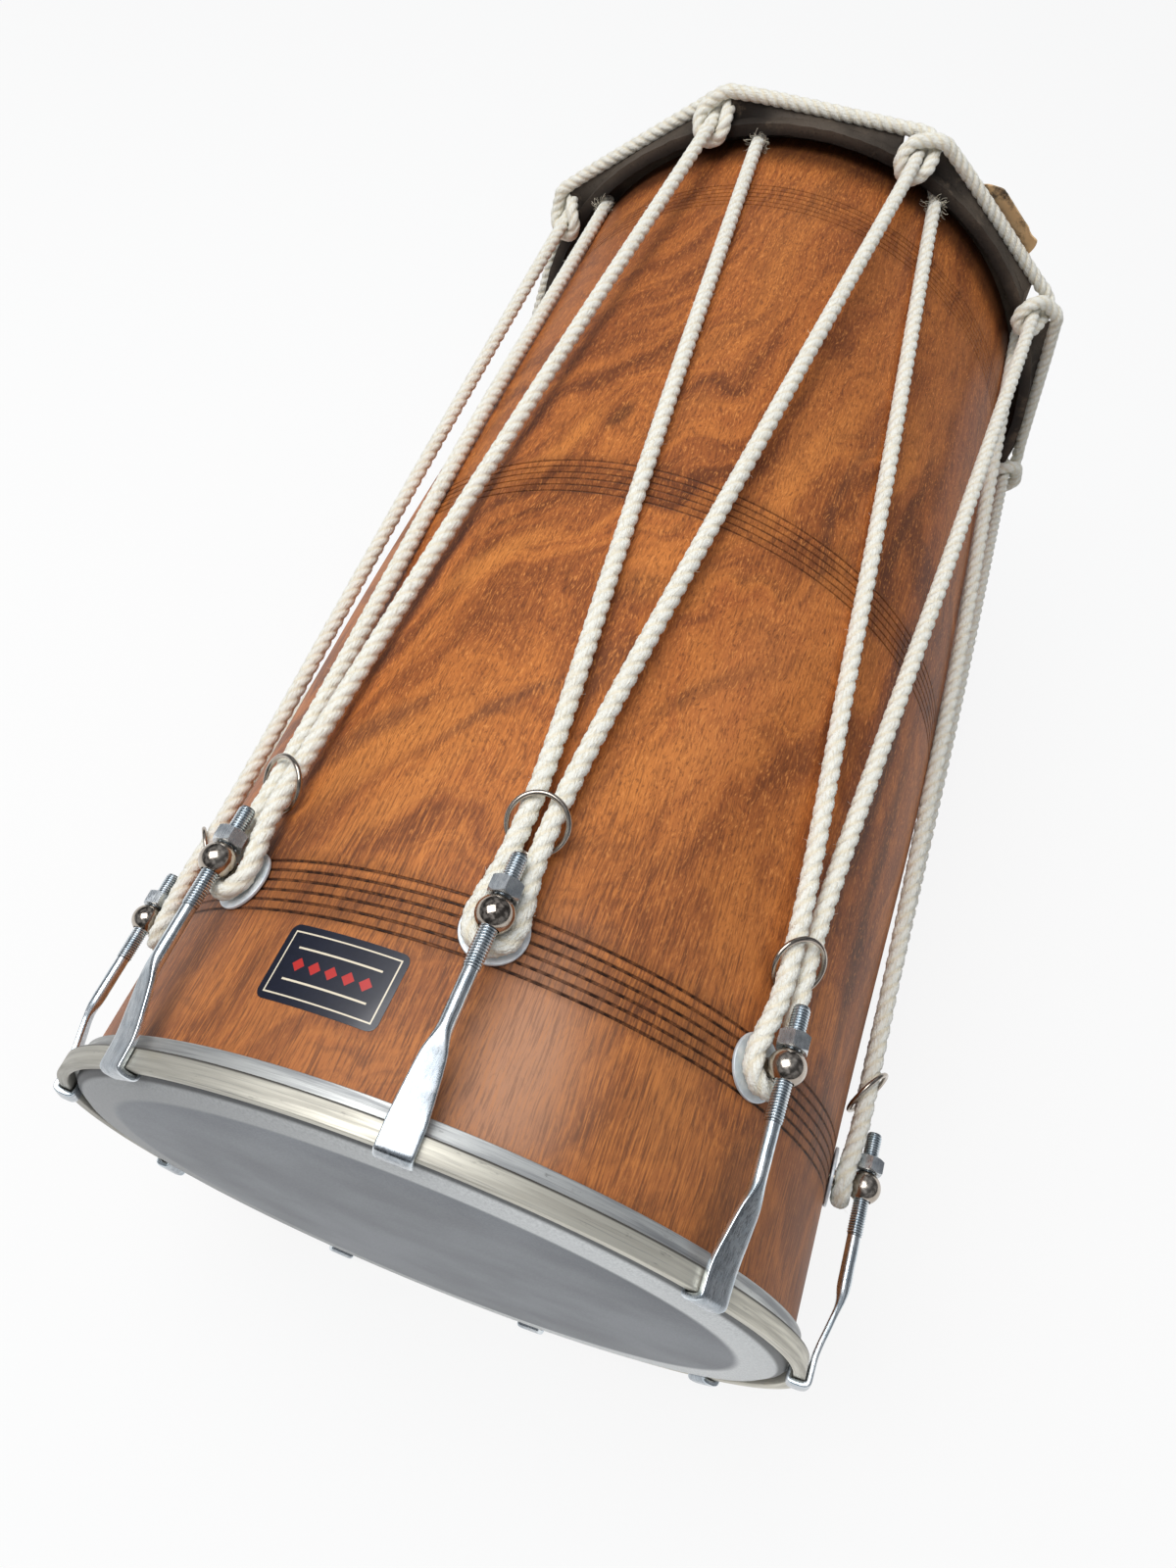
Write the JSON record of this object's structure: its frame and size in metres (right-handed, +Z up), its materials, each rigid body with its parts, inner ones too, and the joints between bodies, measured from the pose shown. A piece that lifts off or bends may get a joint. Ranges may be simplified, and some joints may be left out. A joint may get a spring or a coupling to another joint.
{
  "type": "dhol drum",
  "caption": "Barrel drum with a film head and a hide head, rope-laced between ball lugs and hoop, with hooked tension rods, nuts and sliding tuning rings.",
  "frame": {"origin": "centre of the bounding box's bottom, under the drum as it lies", "axes": "+Z up; +Y along the drum from the film head to the hide head; +X to the right seen from the film head. The drum's axis rises 2.44 degrees towards +Y, because the hoop rope's hitches stand out further than the ball lugs it lies on."},
  "size_m": [0.4368, 0.7444, 0.4321],
  "materials": {
    "wood": "lacquered reddish-brown hardwood with dark grain",
    "film": "satin grey film",
    "aluminium": "dull, scuffed",
    "hide": "dark raw hide",
    "iron": "dark flat bar inside the hide's lap",
    "cotton": "cream twisted three-strand cotton",
    "zinc": "bright zinc plate",
    "nickel": "polished nickel plate"
  },
  "bodies": {
    "root": {"shell": "wood", "treble_film": "film", "treble_film_hoop": "aluminium", "treble_rim": "aluminium", "bass_hoop": "iron", "bass_hide": "hide", "lacing_rope": "cotton", "hoop_rope": "cotton", "ball_lug_1": "nickel", "washer_1": "zinc", "ball_lug_2": "nickel", "washer_2": "zinc", "ball_lug_3": "nickel", "washer_3": "zinc", "ball_lug_4": "nickel", "washer_4": "zinc", "ball_lug_5": "nickel", "washer_5": "zinc", "ball_lug_6": "nickel", "washer_6": "zinc", "ball_lug_7": "nickel", "washer_7": "zinc", "ball_lug_8": "nickel", "washer_8": "zinc", "ball_lug_9": "nickel", "washer_9": "zinc"},
    "nut_1": {"nut_1": "zinc"},
    "hook_1": {"hook_1": "zinc"},
    "ring_1": {"ring_1": "nickel"},
    "nut_2": {"nut_2": "zinc"},
    "hook_2": {"hook_2": "zinc"},
    "ring_2": {"ring_2": "nickel"},
    "nut_3": {"nut_3": "zinc"},
    "hook_3": {"hook_3": "zinc"},
    "ring_3": {"ring_3": "nickel"},
    "nut_4": {"nut_4": "zinc"},
    "hook_4": {"hook_4": "zinc"},
    "ring_4": {"ring_4": "nickel"},
    "nut_5": {"nut_5": "zinc"},
    "hook_5": {"hook_5": "zinc"},
    "ring_5": {"ring_5": "nickel"},
    "nut_6": {"nut_6": "zinc"},
    "hook_6": {"hook_6": "zinc"},
    "ring_6": {"ring_6": "nickel"},
    "nut_7": {"nut_7": "zinc"},
    "hook_7": {"hook_7": "zinc"},
    "ring_7": {"ring_7": "nickel"},
    "nut_8": {"nut_8": "zinc"},
    "hook_8": {"hook_8": "zinc"},
    "ring_8": {"ring_8": "nickel"},
    "nut_9": {"nut_9": "zinc"},
    "hook_9": {"hook_9": "zinc"},
    "ring_9": {"ring_9": "nickel"}
  },
  "joints": [
    {"name": "nut_1_turn", "type": "hinge", "parent": "root", "child": "nut_1", "pos_m": [-0.19678, -0.26281, 0.2289], "axis": [0, 0.999, 0.0447], "range_deg": [0, 2880]},
    {"name": "hook_1_slide", "type": "slide", "parent": "root", "child": "hook_1", "axis": [0, -0.999, -0.0447], "range_m": [0, 0.01]},
    {"name": "ring_1_slide", "type": "slide", "parent": "root", "child": "ring_1", "axis": [0, 0.999, 0.0447], "range_m": [-0.009, 0.009]},
    {"name": "nut_2_turn", "type": "hinge", "parent": "root", "child": "nut_2", "pos_m": [-0.12892, -0.26807, 0.34631], "axis": [0, 0.999, 0.0447], "range_deg": [0, 2880]},
    {"name": "hook_2_slide", "type": "slide", "parent": "root", "child": "hook_2", "axis": [0, -0.999, -0.0447], "range_m": [0, 0.01]},
    {"name": "ring_2_slide", "type": "slide", "parent": "root", "child": "ring_2", "axis": [0, 0.999, 0.0447], "range_m": [-0.009, 0.009]},
    {"name": "nut_3_turn", "type": "hinge", "parent": "root", "child": "nut_3", "pos_m": [-0.00139, -0.27014, 0.39268], "axis": [0, 0.999, 0.0447], "range_deg": [0, 2880]},
    {"name": "hook_3_slide", "type": "slide", "parent": "root", "child": "hook_3", "axis": [0, -0.999, -0.0447], "range_m": [0, 0.01]},
    {"name": "ring_3_slide", "type": "slide", "parent": "root", "child": "ring_3", "axis": [0, 0.999, 0.0447], "range_m": [-0.009, 0.009]},
    {"name": "nut_4_turn", "type": "hinge", "parent": "root", "child": "nut_4", "pos_m": [0.12614, -0.26807, 0.34631], "axis": [0, 0.999, 0.0447], "range_deg": [0, 2880]},
    {"name": "hook_4_slide", "type": "slide", "parent": "root", "child": "hook_4", "axis": [0, -0.999, -0.0447], "range_m": [0, 0.01]},
    {"name": "ring_4_slide", "type": "slide", "parent": "root", "child": "ring_4", "axis": [0, 0.999, 0.0447], "range_m": [-0.009, 0.009]},
    {"name": "nut_5_turn", "type": "hinge", "parent": "root", "child": "nut_5", "pos_m": [0.194, -0.26281, 0.2289], "axis": [0, 0.999, 0.0447], "range_deg": [0, 2880]},
    {"name": "hook_5_slide", "type": "slide", "parent": "root", "child": "hook_5", "axis": [0, -0.999, -0.0447], "range_m": [0, 0.01]},
    {"name": "ring_5_slide", "type": "slide", "parent": "root", "child": "ring_5", "axis": [0, 0.999, 0.0447], "range_m": [-0.009, 0.009]},
    {"name": "nut_6_turn", "type": "hinge", "parent": "root", "child": "nut_6", "pos_m": [0.17043, -0.25683, 0.09538], "axis": [0, 0.999, 0.0447], "range_deg": [0, 2880]},
    {"name": "hook_6_slide", "type": "slide", "parent": "root", "child": "hook_6", "axis": [0, -0.999, -0.0447], "range_m": [0, 0.01]},
    {"name": "ring_6_slide", "type": "slide", "parent": "root", "child": "ring_6", "axis": [0, 0.999, 0.0447], "range_m": [-0.009, 0.009]},
    {"name": "nut_7_turn", "type": "hinge", "parent": "root", "child": "nut_7", "pos_m": [0.06647, -0.25293, 0.00823], "axis": [0, 0.999, 0.0447], "range_deg": [0, 2880]},
    {"name": "hook_7_slide", "type": "slide", "parent": "root", "child": "hook_7", "axis": [0, -0.999, -0.0447], "range_m": [0, 0.01]},
    {"name": "ring_7_slide", "type": "slide", "parent": "root", "child": "ring_7", "axis": [0, 0.999, 0.0447], "range_m": [-0.009, 0.009]},
    {"name": "nut_8_turn", "type": "hinge", "parent": "root", "child": "nut_8", "pos_m": [-0.06925, -0.25293, 0.00823], "axis": [0, 0.999, 0.0447], "range_deg": [0, 2880]},
    {"name": "hook_8_slide", "type": "slide", "parent": "root", "child": "hook_8", "axis": [0, -0.999, -0.0447], "range_m": [0, 0.01]},
    {"name": "ring_8_slide", "type": "slide", "parent": "root", "child": "ring_8", "axis": [0, 0.999, 0.0447], "range_m": [-0.009, 0.009]},
    {"name": "nut_9_turn", "type": "hinge", "parent": "root", "child": "nut_9", "pos_m": [-0.17321, -0.25683, 0.09538], "axis": [0, 0.999, 0.0447], "range_deg": [0, 2880]},
    {"name": "hook_9_slide", "type": "slide", "parent": "root", "child": "hook_9", "axis": [0, -0.999, -0.0447], "range_m": [0, 0.01]},
    {"name": "ring_9_slide", "type": "slide", "parent": "root", "child": "ring_9", "axis": [0, 0.999, 0.0447], "range_m": [-0.009, 0.009]}
  ],
  "couplings": [
    {"joint": "nut_1_turn", "follows": "hook_1_slide", "rad_per_m": 5026.5},
    {"joint": "nut_2_turn", "follows": "hook_2_slide", "rad_per_m": 5026.5},
    {"joint": "nut_3_turn", "follows": "hook_3_slide", "rad_per_m": 5026.5},
    {"joint": "nut_4_turn", "follows": "hook_4_slide", "rad_per_m": 5026.5},
    {"joint": "nut_5_turn", "follows": "hook_5_slide", "rad_per_m": 5026.5},
    {"joint": "nut_6_turn", "follows": "hook_6_slide", "rad_per_m": 5026.5},
    {"joint": "nut_7_turn", "follows": "hook_7_slide", "rad_per_m": 5026.5},
    {"joint": "nut_8_turn", "follows": "hook_8_slide", "rad_per_m": 5026.5},
    {"joint": "nut_9_turn", "follows": "hook_9_slide", "rad_per_m": 5026.5}
  ]
}
